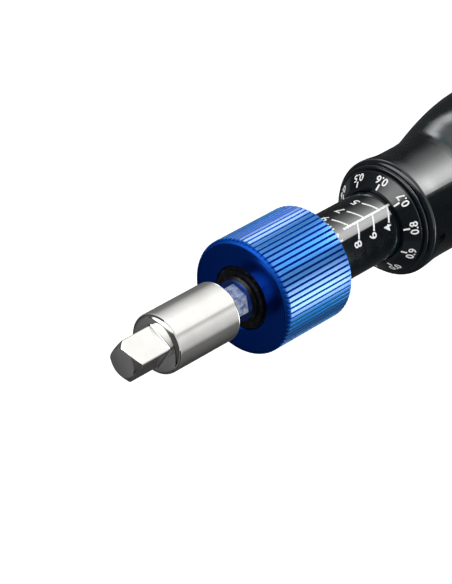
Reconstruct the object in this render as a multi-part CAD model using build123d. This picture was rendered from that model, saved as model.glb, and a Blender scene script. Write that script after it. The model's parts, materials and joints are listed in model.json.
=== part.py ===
"""Adjustable torque screwdriver with a micrometer scale, a slipping ball clutch and a release collar.

The tool's axis is Z. The origin is the centre of the handle's flat end, and the square drive is at the
top. Sizes are in millimetres. The tool is shown as in the photograph, set to 3.7 on a scale of 1 to 9.
The handle screws along the barrel, so its thimble's bevel is the pointer on the barrel's scale, and a
follower that is keyed to the barrel presses the torque spring. The spring holds six balls in the pockets
of a cam plate on the output spindle. At the set torque the balls climb out and the spindle slips.
"""
from build123d import *
from math import cos, radians, sin, sqrt
import os

# Setting screw and scale
lead = 2.4
setting = 3.7
setting_lowest = 1.0
setting_highest = 9.0
travel_up = (setting_highest - setting) * lead
travel_down = (setting - setting_lowest) * lead

# Clearances
running_gap = 0.05
key_gap = 0.1
wide_gap = 0.15
end_gap = 0.7
seat_gap = 0.03

# Barrel
barrel_r = 7.6
barrel_wall = 1.4
barrel_bore_r = barrel_r - barrel_wall
barrel_shoulder = 2.0
key_count = 3
keyway_depth = 0.75
keyway_width = 3.0
keyway_r = barrel_bore_r + keyway_depth
stop_ring_height = 0.6
stop_ring_thickness = 1.2
stop_groove_depth = 0.25
stop_ring_r = barrel_r + stop_ring_height
stop_groove_r = barrel_r - stop_groove_depth

# Output spindle, its bush and the rings on it
bush_wall = 1.2
spindle_r = barrel_bore_r - bush_wall
nose_overhang = 1.5
nose_chamfer = 0.65
nose_face_r = spindle_r - 0.7
ring_groove_depth = 0.45
ring_groove_r = spindle_r - ring_groove_depth
ring_gap_angle = 215.0
ring_gap = 2.4
nose_ring_height = 1.15
nose_ring_r = spindle_r + nose_ring_height
nose_ring_thickness = 0.7
nose_ring_below_face = 1.05
rest_ring_height = 2.0
rest_ring_r = spindle_r + rest_ring_height
rest_ring_thickness = 0.6
front_washer_width = 1.6
front_washer_r = spindle_r + front_washer_width
front_washer_thickness = 0.95
shoulder_r = spindle_r + 0.3
bush_step = 0.1
bush_r = barrel_bore_r + bush_step
bush_flange_inset = 0.4
bush_flange_r = barrel_r - bush_flange_inset
bush_flange = 0.8
bush_length = 9.2

# Handle core, which is the nut of the setting screw, and its calibration screw
core_wall = 1.15
core_r = stop_ring_r + wide_gap + core_wall
core_flange_width = 2.5
core_flange_r = core_r + core_flange_width
core_flange_height = 3.0
core_gap = 1.0
core_floor = 16.5
nut_length = 14.0
nut_front_relief = 11.0
calibration_gap = 1.2
calibration_r = barrel_bore_r - calibration_gap
calibration_hex = 5.0
calibration_hex_depth = 5.0
locknut_height = 5.0
locknut_rim = 3.0
screw_tail = 0.6
tail_room = 1.5
pivot_ball_r = 2.5
pivot_sink = 1.5

# Dial ring, whose bevel at 45 degrees carries the thimble's numbers
dial_face_width = 0.72
bevel_inner_r = barrel_r + wide_gap + dial_face_width
bevel_width = 2.53
bevel_outer_r = bevel_inner_r + bevel_width
dial_round = 0.25
dial_r = bevel_outer_r + 0.1
dial_groove_width = 0.45
dial_groove_depth = 0.3
dial_groove_r = dial_r - dial_groove_depth
bead_height = 0.9
bead_r = dial_r + bead_height
bead_root_r = dial_r + 0.25
bead_width = 0.7
bead_seat = 0.12
dial_spigot_wall = 1.1
dial_spigot_r = core_r + dial_spigot_wall
dial_spigot_length = 5.4
wiper_section_r = 0.8
wiper_lift = 0.9

# Sleeve between the dial ring and the grip, with its headless screws
sleeve_length = 14.35
bulge_height = 5.3
bulge_r = barrel_r + bulge_height
bulge_place = 1.05
sleeve_front_r = bulge_r - 0.85
slope_r = bulge_r - 0.42
slope_place = 5.35
waist_r = bulge_r - 0.52
waist_place = 9.85
joint_chamfer = 0.12
grub_r = 1.25
grub_length = 2.3
grub_recess = 0.8
grub_hex = 1.3
grub_place = 3.5
dial_screw_angles = (75, 195)
lock_screw_angle = -47.5
lock_screw_length = 3.4
lock_pad_r = 1.15

# Grip and end cap
grip_front_r = bulge_r - 0.42
grip_neck_r = bulge_r - 0.08
grip_neck_place = 2.5
grip_shoulder_r = bulge_r + 0.86
grip_shoulder_place = 6.0
grip_swell = 4.0
grip_widest_r = bulge_r + grip_swell
grip_widest_place = 22.0
grip_middle_r = grip_widest_r - 0.5
grip_middle_place = 37.0
grip_low_r = grip_widest_r - 1.2
grip_low_place = 55.0
grip_end_r = grip_widest_r - 1.7
grip_edge = 0.35
scallop_count = 6
scallop_r = 9.0
scallop_depth = 0.9
scallop_length = 30.0
cap_height = 3.0
cap_r = grip_end_r - 0.3
cap_edge = 1.0
cap_spigot_height = 5.0
cap_wall = 2.0
spanner_hole_r = 1.25
spanner_hole_place = 9.0
spanner_hole_depth = 1.8

# Clutch
thrust_washer_thickness = 1.0
cam_gap = 0.08
cam_thickness = 4.0
cam_r = barrel_bore_r - cam_gap
plate_r = barrel_bore_r - running_gap
plate_thickness = 4.0
plate_gap = 0.6
key_r = keyway_r - key_gap
key_width = keyway_width - key_gap
ball_r = 1.25
ball_margin = 0.45
ball_pitch_r = plate_r - ball_r - ball_margin
ball_count = 6
detent_count = 2 * ball_count
pocket_centre_drop = ball_r - plate_gap
tail_r = 2.6
tail_flat = 2.2
tail_ring_r = 2.95
tail_ring_thickness = 0.5
tail_groove_r = 2.1
cam_counterbore_r = tail_ring_r + wide_gap
cam_counterbore = 1.0

# Torque spring and its follower
spring_gap = 0.2
spring_wire_r = 1.3
spring_mean_r = barrel_bore_r - spring_gap - spring_wire_r
spring_length = 42.75
spring_turns = 9
spigot_r = spring_mean_r - spring_wire_r - spring_gap
spigot_height = 2.0
follower_thickness = 5.0
follower_boss = 3.0

# Release collar with its lock balls
collar_length = 19.5
collar_r = 12.36
collar_front_round = 1.1
collar_rear_chamfer = 0.5
flute_count = 68
flute_depth = 0.33
flute_land = 0.55
flute_floor = 0.1
flute_phase = 2.0
scale_margin = 8.88
collar_mouth_gap = 0.12
collar_mouth_chamfer = 0.18
collar_bore_r = front_washer_r + collar_mouth_gap
skirt_depth = 3.7
skirt_gap = 0.5
skirt_r = barrel_r + skirt_gap
release_travel = 3.0
lock_ball_r = 1.3
lock_ball_lift = 0.8
lock_ball_angle = 30.0
lock_ball_place = 8.6
lock_ball_in_r = spindle_r - lock_ball_r
ramp_above_ball = 0.1
ramp_below_ball = 4.5
lock_land = 2.9
key_flat_inset = 0.4
key_flat = spindle_r - key_flat_inset
key_flat_below = 0.6
key_flat_length = 9.0
collar_spring_wire_r = 0.35
collar_spring_inset = 0.75
collar_spring_mean_r = front_washer_r - collar_spring_inset
collar_spring_turns = 3

# Square drive adapter
drive_size = 6.35
socket_wall = 8.85
adapter_r = 6.36
adapter_back_above_nose = 5.56
adapter_body = 17.84
adapter_front_round = 1.1
adapter_back_chamfer = 0.3
shank_end_gap = 0.26
shank_chamfer = 0.6
groove_r = lock_ball_r + key_gap
square_length = 8.9
square_angle = 16.8
square_root_round = 0.4
square_end_r = 3.0
square_end_chamfer = 1.1
detent_ball_r = 1.25
detent_out = 0.5
detent_press = 0.4
detent_place = 4.4
detent_angle = 196.8
detent_hole_depth = 4.3
detent_wire_r = 0.15
detent_coil_r = 0.85
detent_turns = 3

# Heights, measured from the dial's front face. The export moves the pieces to the handle's end.
dial_front_z = 0
dial_edge_z = dial_front_z - bevel_width - dial_round
bead_z = dial_edge_z - dial_groove_width - bead_width
sleeve_front_z = bead_z - bead_seat
grip_front_z = sleeve_front_z - sleeve_length
grub_z = sleeve_front_z - grub_place
wiper_z = sleeve_front_z + wiper_lift
spigot_end_z = sleeve_front_z - dial_spigot_length
core_front_z = spigot_end_z - core_gap
nut_front_z = core_front_z - nut_front_relief
nut_rear_z = nut_front_z - nut_length
stop_ring_z = nut_rear_z - travel_down - end_gap - stop_ring_thickness
collar_back_z = dial_front_z + travel_up + scale_margin
collar_front_z = collar_back_z + collar_length
collar_web_z = collar_back_z + skirt_depth
lock_ball_z = collar_back_z + lock_ball_place
ramp_top_z = lock_ball_z + ramp_above_ball
ramp_low_z = lock_ball_z - ramp_below_ball
collar_shoulder_z = ramp_top_z + lock_land
nose_z = collar_front_z + nose_overhang
nose_ring_z = nose_z - nose_ring_below_face - nose_ring_thickness
front_washer_z = nose_ring_z - front_washer_thickness
rest_ring_z = collar_web_z - running_gap - rest_ring_thickness
bush_flange_z = rest_ring_z - running_gap - bush_flange
bush_rear_z = bush_flange_z - bush_length
shoulder_rear_z = bush_rear_z - barrel_shoulder
washer_rear_z = shoulder_rear_z - thrust_washer_thickness
cam_front_z = washer_rear_z - running_gap
cam_rear_z = cam_front_z - cam_thickness
tail_ring_z = cam_rear_z + cam_counterbore - tail_ring_thickness - running_gap
ball_z = cam_rear_z - pocket_centre_drop
plate_front_z = cam_rear_z - plate_gap
plate_rear_z = plate_front_z - plate_thickness
follower_front_z = plate_rear_z - spring_length
follower_flange_z = follower_front_z - follower_thickness
follower_rear_z = follower_flange_z - follower_boss
pivot_z = follower_rear_z + pivot_sink - pivot_ball_r
screw_front_z = pivot_z - pivot_ball_r + pivot_sink
barrel_rear_z = follower_flange_z - travel_down - key_gap
core_floor_z = barrel_rear_z - travel_up - end_gap
core_rear_z = core_floor_z - core_floor
locknut_z = core_rear_z - locknut_height
screw_rear_z = locknut_z - screw_tail
cap_front_z = screw_rear_z - tail_room - cap_spigot_height
handle_end_z = cap_front_z - cap_height
socket_floor_z = cam_front_z + socket_wall
adapter_back_z = nose_z + adapter_back_above_nose
adapter_front_z = adapter_back_z + adapter_body
tip_z = adapter_front_z + square_length
shank_end_z = socket_floor_z + shank_end_gap
detent_z = adapter_front_z + detent_place

# Distances from the axis that depend on two pieces
dial_screw_inner_r = bulge_r - grub_recess - grub_length
lock_screw_inner_r = bulge_r - grub_recess - lock_screw_length
wiper_mean_r = barrel_r + running_gap + wiper_section_r
detent_centre = drive_size / 2 + detent_out - detent_ball_r


def turned(*edges):
    """The solid swept out by a closed outline of radius and height turned about Z."""
    return revolve(make_face(Plane.XZ * Wire(list(edges))), Axis.Z, 360)


def lathe(*points):
    """A turned solid with straight sides only."""
    return revolve(make_face(Plane.XZ * Polyline(*points, close=True)), Axis.Z, 360)


def ring(outer, inner, low, high):
    """A plain ring or tube."""
    return lathe((inner, low), (outer, low), (outer, high), (inner, high))


def rod(radius, low, high):
    return Pos(0, 0, low) * Cylinder(radius, high - low, align=(Align.CENTER, Align.CENTER, Align.MIN))


def prism(across_flats, low, high, angle=0):
    """A hexagonal prism with a corner at the given angle."""
    outline = RegularPolygon(across_flats / sqrt(3), 6)
    return Pos(0, 0, low) * extrude(Rot(0, 0, angle) * outline, high - low)


def bar(width, depth, low, high):
    return Pos(0, 0, low) * Box(width, depth, high - low, align=(Align.CENTER, Align.CENTER, Align.MIN))


def radial(angle, distance, height):
    """Where local Z points outwards from the axis, at an angle, distance and height."""
    return Rot(0, 0, angle) * Pos(distance, 0, height) * Rot(0, 90, 0)


def double_d(radius, flat, low, high):
    """A round rod with two flats, which face +Y and -Y."""
    return rod(radius, low, high) & bar(4 * radius, 2 * flat, low, high)


def coil(mean_r, wire_r, length, turns):
    """A compression spring along +Z from the origin, with closed end turns."""
    rise = length - 2 * wire_r
    path = Pos(0, 0, wire_r) * Helix(rise / turns, rise, mean_r)
    section = Plane(path @ 0, z_dir=path % 0) * Circle(wire_r)
    ends = [Pos(0, 0, z) * Torus(mean_r, wire_r) for z in (wire_r, length - wire_r)]
    return sweep(section, path) + ends


def open_ring(outer, inner, low, high, angle, gap):
    """A retaining ring with a gap at one angle."""
    cut = Rot(0, 0, angle) * Pos(outer, 0, low - 1) * Box(
        2 * outer, gap, high - low + 2, align=(Align.CENTER, Align.CENTER, Align.MIN))
    return ring(outer, inner, low, high) - cut


def make_end_cap():
    """Closes the handle, and is the flat face that the tool stands on."""
    body = rod(cap_r, handle_end_z, cap_front_z)
    body = fillet(body.edges().sort_by(Axis.Z)[0], cap_edge)
    spigot = ring(core_flange_r, core_flange_r - cap_wall, cap_front_z, cap_front_z + cap_spigot_height)
    holes = [Rot(0, 0, a) * Pos(spanner_hole_place, 0, 0) * rod(
        spanner_hole_r, handle_end_z, handle_end_z + spanner_hole_depth) for a in (0, 180)]
    return body + spigot - holes


def make_grip():
    """The handle's outer body, swelling from a slim neck, with shallow scallops for the fingers."""
    low = cap_front_z
    top = grip_front_z
    flange = core_rear_z + core_flange_height
    side = Spline((grip_end_r, low + grip_edge), (grip_low_r, top - grip_low_place),
                  (grip_middle_r, top - grip_middle_place), (grip_widest_r, top - grip_widest_place),
                  (grip_shoulder_r, top - grip_shoulder_place), (grip_neck_r, top - grip_neck_place),
                  (grip_front_r, top - joint_chamfer))
    outline = [
        Line((core_flange_r, low), (grip_end_r - grip_edge, low)),
        Line((grip_end_r - grip_edge, low), (grip_end_r, low + grip_edge)),
        side,
        Line((grip_front_r, top - joint_chamfer), (grip_front_r - joint_chamfer, top)),
        Line((grip_front_r - joint_chamfer, top), (core_r, top)),
        Line((core_r, top), (core_r, flange)),
        Line((core_r, flange), (core_flange_r, flange)),
        Line((core_flange_r, flange), (core_flange_r, low)),
    ]
    body = turned(*outline)
    middle = top - grip_middle_place
    reach = grip_middle_r - scallop_depth + scallop_r
    tool = rod(scallop_r, middle - scallop_length / 2, middle + scallop_length / 2)
    tool += [Pos(0, 0, middle + end * scallop_length / 2) * Sphere(scallop_r) for end in (-1, 1)]
    for k in range(scallop_count):
        body -= Rot(0, 0, k * 360 / scallop_count) * Pos(reach, 0, 0) * tool
    return body


def make_sleeve():
    """The waisted sleeve between the grip and the dial ring, with three threaded holes for its screws."""
    top = sleeve_front_z
    bulge = (bulge_r, top - bulge_place)
    side = Spline((grip_front_r, grip_front_z + joint_chamfer), (waist_r, top - waist_place),
                  (slope_r, top - slope_place), bulge, tangents=((-0.1, 1), (0, 1)))
    outline = [
        Line((core_r, grip_front_z), (grip_front_r - joint_chamfer, grip_front_z)),
        Line((grip_front_r - joint_chamfer, grip_front_z), (grip_front_r, grip_front_z + joint_chamfer)),
        side,
        TangentArc(bulge, (sleeve_front_r, top), tangent=(0, 1)),
        Line((sleeve_front_r, top), (dial_spigot_r, top)),
        Line((dial_spigot_r, top), (dial_spigot_r, spigot_end_z)),
        Line((dial_spigot_r, spigot_end_z), (core_r, spigot_end_z)),
        Line((core_r, spigot_end_z), (core_r, grip_front_z)),
    ]
    body = turned(*outline)
    for angle in (lock_screw_angle,) + dial_screw_angles:
        body -= radial(angle, 0, grub_z) * rod(grub_r, 0, bulge_r + 1)
    return body


def make_dial_ring():
    """The thimble ring: a bevel for the numbers, a rounded edge, and a bead between two narrow grooves."""
    bore = barrel_r + wide_gap
    face = dial_front_z
    bead_top = bead_z + bead_width
    bevel_end = (bevel_outer_r, face - bevel_width)
    edge = TangentArc(bevel_end, (dial_r, dial_edge_z), tangent=(1, -1))
    bead_middle = (bead_r, bead_z + bead_width / 2)
    bead = ThreePointArc((bead_root_r, bead_z), bead_middle, (bead_root_r, bead_top))
    outline = [
        Line((bore, spigot_end_z), (dial_spigot_r, spigot_end_z)),
        Line((dial_spigot_r, spigot_end_z), (dial_spigot_r, sleeve_front_z)),
        Line((dial_spigot_r, sleeve_front_z), (bead_root_r, sleeve_front_z)),
        Line((bead_root_r, sleeve_front_z), (bead_root_r, bead_z)),
        bead,
        Line((bead_root_r, bead_top), (dial_groove_r, bead_top)),
        Line((dial_groove_r, bead_top), (dial_groove_r, dial_edge_z)),
        Line((dial_groove_r, dial_edge_z), (dial_r, dial_edge_z)),
        edge,
        Line(bevel_end, (bevel_inner_r, face)),
        Line((bevel_inner_r, face), (bore, face)),
        Line((bore, face), (bore, spigot_end_z)),
    ]
    body = turned(*outline) - ring(
        wiper_mean_r + wiper_section_r, bore - 1, wiper_z - wiper_section_r, wiper_z + wiper_section_r)
    for angle in dial_screw_angles:
        body -= radial(angle, dial_screw_inner_r, grub_z) * rod(grub_r, 0, dial_spigot_r)
    return body - radial(lock_screw_angle, 0, grub_z) * rod(grub_r, 0, dial_spigot_r + 1)


def make_grub_screw(angle, inner_r, length):
    """A headless screw with a hexagon hole, in the sleeve's wall."""
    screw = rod(grub_r, 0, length) - prism(grub_hex, length - grub_length / 2, length)
    return radial(angle, inner_r, grub_z) * screw


def make_lock_pad():
    """The brass pad that the lock screw presses on the barrel, so that the setting stays."""
    low = barrel_r + running_gap
    return radial(lock_screw_angle, low, grub_z) * rod(lock_pad_r, 0, lock_screw_inner_r - low)


def make_core():
    """The handle's steel core: a flange behind the grip, a floor for the calibration screw, the nut."""
    wide = stop_ring_r + wide_gap
    thread = barrel_r + running_gap
    return lathe(
        (calibration_r, core_rear_z), (core_flange_r, core_rear_z),
        (core_flange_r, core_rear_z + core_flange_height), (core_r, core_rear_z + core_flange_height),
        (core_r, core_front_z), (wide, core_front_z), (wide, nut_front_z), (thread, nut_front_z),
        (thread, nut_rear_z), (wide, nut_rear_z), (wide, core_floor_z), (calibration_r, core_floor_z))


def make_calibration_screw():
    """Sets the spring's starting load. Its front end holds the pivot ball."""
    body = rod(calibration_r, screw_rear_z, screw_front_z)
    body = chamfer(body.edges().sort_by(Axis.Z)[-1], 2 * joint_chamfer)
    body -= prism(calibration_hex, screw_rear_z, screw_rear_z + calibration_hex_depth)
    return body - Pos(0, 0, pivot_z) * Sphere(pivot_ball_r)


def make_locknut():
    return prism(2 * (calibration_r + locknut_rim), locknut_z, core_rear_z) - rod(
        calibration_r, locknut_z, core_rear_z)


def keys(radius, width, low, high):
    """Keys or keyways that reach from the axis to a radius, evenly round it."""
    spokes = Part()
    for k in range(key_count):
        spokes += Rot(0, 0, k * 360 / key_count) * Pos(0, 0, low) * Box(
            radius, width, high - low, align=(Align.MIN, Align.CENTER, Align.MIN))
    return rod(radius, low, high) & spokes


def make_follower():
    """Presses the spring, and slides in the barrel's keyways without turning."""
    body = rod(plate_r, follower_flange_z, follower_front_z)
    body += keys(key_r, key_width, follower_flange_z, follower_front_z)
    body += rod(spigot_r, follower_front_z, follower_front_z + spigot_height)
    body += rod(calibration_r, follower_rear_z, follower_flange_z)
    return body - Pos(0, 0, pivot_z) * Sphere(pivot_ball_r + seat_gap)


def make_barrel():
    """The tube that carries the scale, with the bush's seat in front and the keyways behind."""
    body = lathe(
        (barrel_bore_r, barrel_rear_z), (barrel_r, barrel_rear_z), (barrel_r, bush_flange_z),
        (bush_r, bush_flange_z), (bush_r, bush_rear_z), (shoulder_r, bush_rear_z),
        (shoulder_r, shoulder_rear_z), (barrel_bore_r, shoulder_rear_z))
    body -= keys(keyway_r, keyway_width, barrel_rear_z, plate_front_z + 1)
    return body - ring(stop_ring_r, stop_groove_r, stop_ring_z, stop_ring_z + stop_ring_thickness)


def make_bush():
    """The bronze bush that the spindle turns in."""
    bore = spindle_r + running_gap
    return lathe(
        (bore, bush_rear_z), (bush_r, bush_rear_z), (bush_r, bush_flange_z),
        (bush_flange_r, bush_flange_z), (bush_flange_r, bush_flange_z + bush_flange),
        (bore, bush_flange_z + bush_flange))


def pockets(count, radius, height):
    """Ball-shaped hollows evenly round the ball circle."""
    hollow = Pos(ball_pitch_r, 0, height) * Sphere(radius)
    return [Rot(0, 0, k * 360 / count) * hollow for k in range(count)]


def make_cam_plate():
    """The toothed plate of the clutch: twelve pockets for six balls, keyed to the spindle's tail."""
    body = rod(cam_r, cam_rear_z, cam_front_z)
    body -= double_d(tail_r, tail_flat, cam_rear_z, cam_front_z)
    body -= rod(cam_counterbore_r, cam_rear_z, cam_rear_z + cam_counterbore)
    return body - pockets(detent_count, ball_r + seat_gap, ball_z)


def make_pressure_plate():
    """Holds the six balls, and slides in the barrel's keyways against the spring."""
    body = rod(plate_r, plate_rear_z, plate_front_z)
    body += keys(key_r, key_width, plate_rear_z, plate_front_z)
    body += rod(spigot_r, plate_rear_z - spigot_height, plate_rear_z)
    return body - pockets(ball_count, ball_r, ball_z)


def make_ball(k):
    return Rot(0, 0, k * 360 / ball_count) * Pos(ball_pitch_r, 0, ball_z) * Sphere(ball_r)


def make_torque_spring():
    return Pos(0, 0, follower_front_z) * coil(spring_mean_r, spring_wire_r, spring_length, spring_turns)


def make_spindle():
    """The output spindle: a socket in its nose, flats for the collar, and a tail for the cam plate."""
    tail_low = cam_rear_z + running_gap
    body = lathe(
        (0, cam_front_z), (spindle_r, cam_front_z), (spindle_r, nose_z - nose_chamfer),
        (nose_face_r, nose_z), (0, nose_z))
    body += double_d(tail_r, tail_flat, tail_low, cam_front_z)
    body -= prism(drive_size + 2 * running_gap, socket_floor_z, nose_z)
    flat_low = lock_ball_z - key_flat_below
    body -= ring(2 * spindle_r, 0, flat_low, flat_low + key_flat_length) - bar(
        4 * spindle_r, 2 * key_flat, flat_low, flat_low + key_flat_length)
    body -= ring(rest_ring_r, ring_groove_r, rest_ring_z, rest_ring_z + rest_ring_thickness)
    body -= ring(nose_ring_r, ring_groove_r, nose_ring_z, nose_ring_z + nose_ring_thickness)
    body -= ring(tail_ring_r, tail_groove_r, tail_ring_z, tail_ring_z + tail_ring_thickness)
    hole = rod(lock_ball_r + running_gap, 0, spindle_r)
    for side in (0, 180):
        body -= radial(lock_ball_angle + side, drive_size / 4, lock_ball_z) * hole
    return body


def fluted(radius, low, high):
    """A rod with straight V grooves, each between two narrow lands."""
    pitch = 360 / flute_count
    root = radius - flute_depth
    corners = (
        (-flute_land / 2, radius), (flute_land / 2, radius),
        (0.5 - flute_floor / 2, root), (0.5 + flute_floor / 2, root))
    outline = []
    for k in range(flute_count):
        for share, r in corners:
            a = radians(flute_phase + (k + share) * pitch)
            outline.append((r * cos(a), r * sin(a)))
    return Pos(0, 0, low) * extrude(make_face(Polyline(*outline, close=True)), high - low)


def make_collar():
    """The release collar. Its ramp holds the lock balls in until it is pulled towards the tip."""
    low = collar_back_z - collar_rear_chamfer
    shell = lathe(
        (0, low), (collar_r - collar_rear_chamfer, low), (collar_r, collar_back_z),
        (collar_r, collar_front_z), (0, collar_front_z))
    shell = fillet(shell.edges().sort_by(Axis.Z)[-1], collar_front_round)
    body = fluted(collar_r, low, collar_front_z) & shell
    body -= lathe(
        (0, low), (skirt_r, low), (skirt_r, collar_web_z), (ramp_r(ramp_low_z), collar_web_z),
        (ramp_r(ramp_low_z), ramp_low_z), (ramp_r(ramp_top_z), ramp_top_z), (0, ramp_top_z))
    body -= double_d(spindle_r + running_gap, key_flat + running_gap, ramp_top_z, collar_shoulder_z)
    return body - lathe(
        (0, collar_shoulder_z), (collar_bore_r, collar_shoulder_z),
        (collar_bore_r, collar_front_z - collar_mouth_chamfer),
        (collar_bore_r + collar_mouth_chamfer, collar_front_z), (0, collar_front_z))


def ramp_r(z):
    """The ramp's radius at a height, a ball's radius outside the line of the lock balls' centres."""
    slope = lock_ball_lift / release_travel
    stretch = sqrt(1 + slope * slope)
    return lock_ball_in_r + (lock_ball_r + running_gap) * stretch + slope * (lock_ball_z - z)


def make_lock_ball(side):
    return radial(lock_ball_angle + side, lock_ball_in_r, lock_ball_z) * Sphere(lock_ball_r)


def make_front_washer():
    """The black washer that closes the collar's mouth and carries its spring."""
    return ring(front_washer_r, spindle_r + running_gap, front_washer_z, nose_ring_z)


def make_collar_spring():
    length = front_washer_z - collar_shoulder_z
    return Pos(0, 0, collar_shoulder_z) * coil(
        collar_spring_mean_r, collar_spring_wire_r, length, collar_spring_turns)


def make_adapter():
    """Quarter-inch hexagon shank to quarter-inch square drive, turned and milled from one bar."""
    shank = prism(drive_size, shank_end_z, adapter_back_z)
    corner_r = drive_size / sqrt(3)
    shank &= lathe(
        (0, shank_end_z), (corner_r - shank_chamfer, shank_end_z), (corner_r, shank_end_z + shank_chamfer),
        (corner_r, adapter_back_z), (0, adapter_back_z))
    shank -= Pos(0, 0, lock_ball_z) * Torus(lock_ball_in_r, groove_r)
    body = lathe(
        (0, adapter_back_z), (adapter_r - adapter_back_chamfer, adapter_back_z),
        (adapter_r, adapter_back_z + adapter_back_chamfer), (adapter_r, adapter_front_z),
        (0, adapter_front_z))
    body = fillet(body.edges().sort_by(Axis.Z)[-1], adapter_front_round)
    square = Rot(0, 0, square_angle) * bar(drive_size, drive_size, adapter_front_z, tip_z)
    corner = drive_size / sqrt(2)
    square &= lathe(
        (0, adapter_front_z), (corner, adapter_front_z), (corner, tip_z - square_end_chamfer),
        (square_end_r, tip_z), (0, tip_z))
    hole = radial(detent_angle, drive_size / 2 - detent_hole_depth, detent_z) * rod(
        detent_ball_r + running_gap, 0, detent_hole_depth + 1)
    solid = shank + body + square - hole
    front = solid.edges().filter_by_position(Axis.Z, adapter_front_z - seat_gap, adapter_front_z + seat_gap)
    return fillet(front.filter_by(GeomType.LINE), square_root_round)


def make_detent_ball():
    return radial(detent_angle, detent_centre, detent_z) * Sphere(detent_ball_r)


def make_detent_spring():
    """The spring under the detent ball. It stops short of the hole's floor by the ball's travel."""
    low = drive_size / 2 - detent_hole_depth + detent_press
    length = detent_centre - detent_ball_r - low
    return radial(detent_angle, low, detent_z) * coil(detent_coil_r, detent_wire_r, length, detent_turns)


pieces = {
    "end_cap": make_end_cap(),
    "grip": make_grip(),
    "thimble_sleeve": make_sleeve(),
    "dial_ring": make_dial_ring(),
    "handle_core": make_core(),
    "calibration_screw": make_calibration_screw(),
    "calibration_locknut": make_locknut(),
    "pivot_ball": Pos(0, 0, pivot_z) * Sphere(pivot_ball_r),
    "setting_lock_screw": make_grub_screw(lock_screw_angle, lock_screw_inner_r, lock_screw_length),
    "lock_pad": make_lock_pad(),
    "wiper_ring": Pos(0, 0, wiper_z) * Torus(wiper_mean_r, wiper_section_r),
    "spring_follower": make_follower(),
    "barrel": make_barrel(),
    "spindle_bush": make_bush(),
    "thrust_washer": ring(barrel_bore_r, shoulder_r, washer_rear_z, shoulder_rear_z),
    "travel_stop_ring": ring(stop_ring_r, stop_groove_r, stop_ring_z,
                             stop_ring_z + stop_ring_thickness),
    "torque_spring": make_torque_spring(),
    "pressure_plate": make_pressure_plate(),
    "cam_plate": make_cam_plate(),
    "output_spindle": make_spindle(),
    "spindle_tail_ring": ring(tail_ring_r, tail_groove_r, tail_ring_z,
                              tail_ring_z + tail_ring_thickness),
    "collar_rest_ring": open_ring(rest_ring_r, ring_groove_r, rest_ring_z,
                                  rest_ring_z + rest_ring_thickness, ring_gap_angle, ring_gap),
    "release_collar": make_collar(),
    "collar_spring": make_collar_spring(),
    "front_washer": make_front_washer(),
    "nose_ring": open_ring(nose_ring_r, ring_groove_r, nose_ring_z, nose_ring_z + nose_ring_thickness,
                           ring_gap_angle, ring_gap),
    "drive_adapter": make_adapter(),
    "detent_ball": make_detent_ball(),
    "detent_spring": make_detent_spring(),
}
for k, angle in enumerate(dial_screw_angles):
    pieces[f"dial_set_screw_{k + 1}"] = make_grub_screw(angle, dial_screw_inner_r, grub_length)
for k in range(ball_count):
    pieces[f"clutch_ball_{k + 1}"] = make_ball(k)
for k, side in enumerate((0, 180)):
    pieces[f"lock_ball_{k + 1}"] = make_lock_ball(side)

os.makedirs("parts", exist_ok=True)
for name, shape in pieces.items():
    export_step(Pos(0, 0, -handle_end_z) * shape, f"parts/{name}.step")
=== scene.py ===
"""Studio picture of an adjustable torque screwdriver.

The tool stands on its handle's flat end. Its axis is Z, and angles round it run in degrees from +X to +Y.
The tool's sizes are millimetres here, and each finished piece is scaled to metres. The studio's are metres.
"""
import json
import math
import bpy
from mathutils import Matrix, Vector


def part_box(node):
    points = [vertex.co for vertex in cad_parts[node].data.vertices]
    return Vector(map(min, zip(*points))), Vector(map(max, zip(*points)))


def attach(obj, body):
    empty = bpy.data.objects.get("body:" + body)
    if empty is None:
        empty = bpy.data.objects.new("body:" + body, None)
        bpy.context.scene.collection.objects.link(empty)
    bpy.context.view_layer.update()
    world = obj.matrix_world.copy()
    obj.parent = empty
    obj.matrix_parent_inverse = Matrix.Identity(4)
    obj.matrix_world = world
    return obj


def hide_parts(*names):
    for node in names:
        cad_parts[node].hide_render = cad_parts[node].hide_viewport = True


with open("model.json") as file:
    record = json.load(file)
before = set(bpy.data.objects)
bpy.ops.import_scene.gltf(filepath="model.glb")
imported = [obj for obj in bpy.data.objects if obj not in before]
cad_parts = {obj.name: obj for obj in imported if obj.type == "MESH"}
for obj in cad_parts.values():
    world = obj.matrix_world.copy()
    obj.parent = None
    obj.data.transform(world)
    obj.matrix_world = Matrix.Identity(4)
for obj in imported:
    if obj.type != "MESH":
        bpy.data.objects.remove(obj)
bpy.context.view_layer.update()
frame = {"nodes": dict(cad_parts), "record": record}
nodes = frame["nodes"]

MM = 0.001


def highest(node):
    """The height of a part's top."""
    return round(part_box(node)[1][2] / MM, 2)


def lowest(node):
    """The height of a part's foot."""
    return round(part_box(node)[0][2] / MM, 2)


# Heights above the handle's flat end
dial_front_z = highest("dial_ring")
collar_back_z = lowest("release_collar")
collar_face_z = highest("release_collar")
nose_z = highest("output_spindle")
tip_z = highest("drive_adapter")
shank_back_z = lowest("drive_adapter")
square_length = 8.9
adapter_back_above_nose = 5.56
adapter_back_z = nose_z + adapter_back_above_nose
adapter_front_z = tip_z - square_length

# Sizes that more than one piece or finish needs
lead = 2.4
barrel_r = 7.6
collar_r = 12.36
drive_size = 6.35
square_angle = 16.8
ink_height = 0.025


def linear(code):
    """An sRGB hex colour as the linear values that the shaders want."""
    values = [int(code[k:k + 2], 16) / 255 for k in (0, 2, 4)]
    return [v / 12.92 if v <= 0.04045 else ((v + 0.055) / 1.055) ** 2.4 for v in values] + [1.0]


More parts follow.
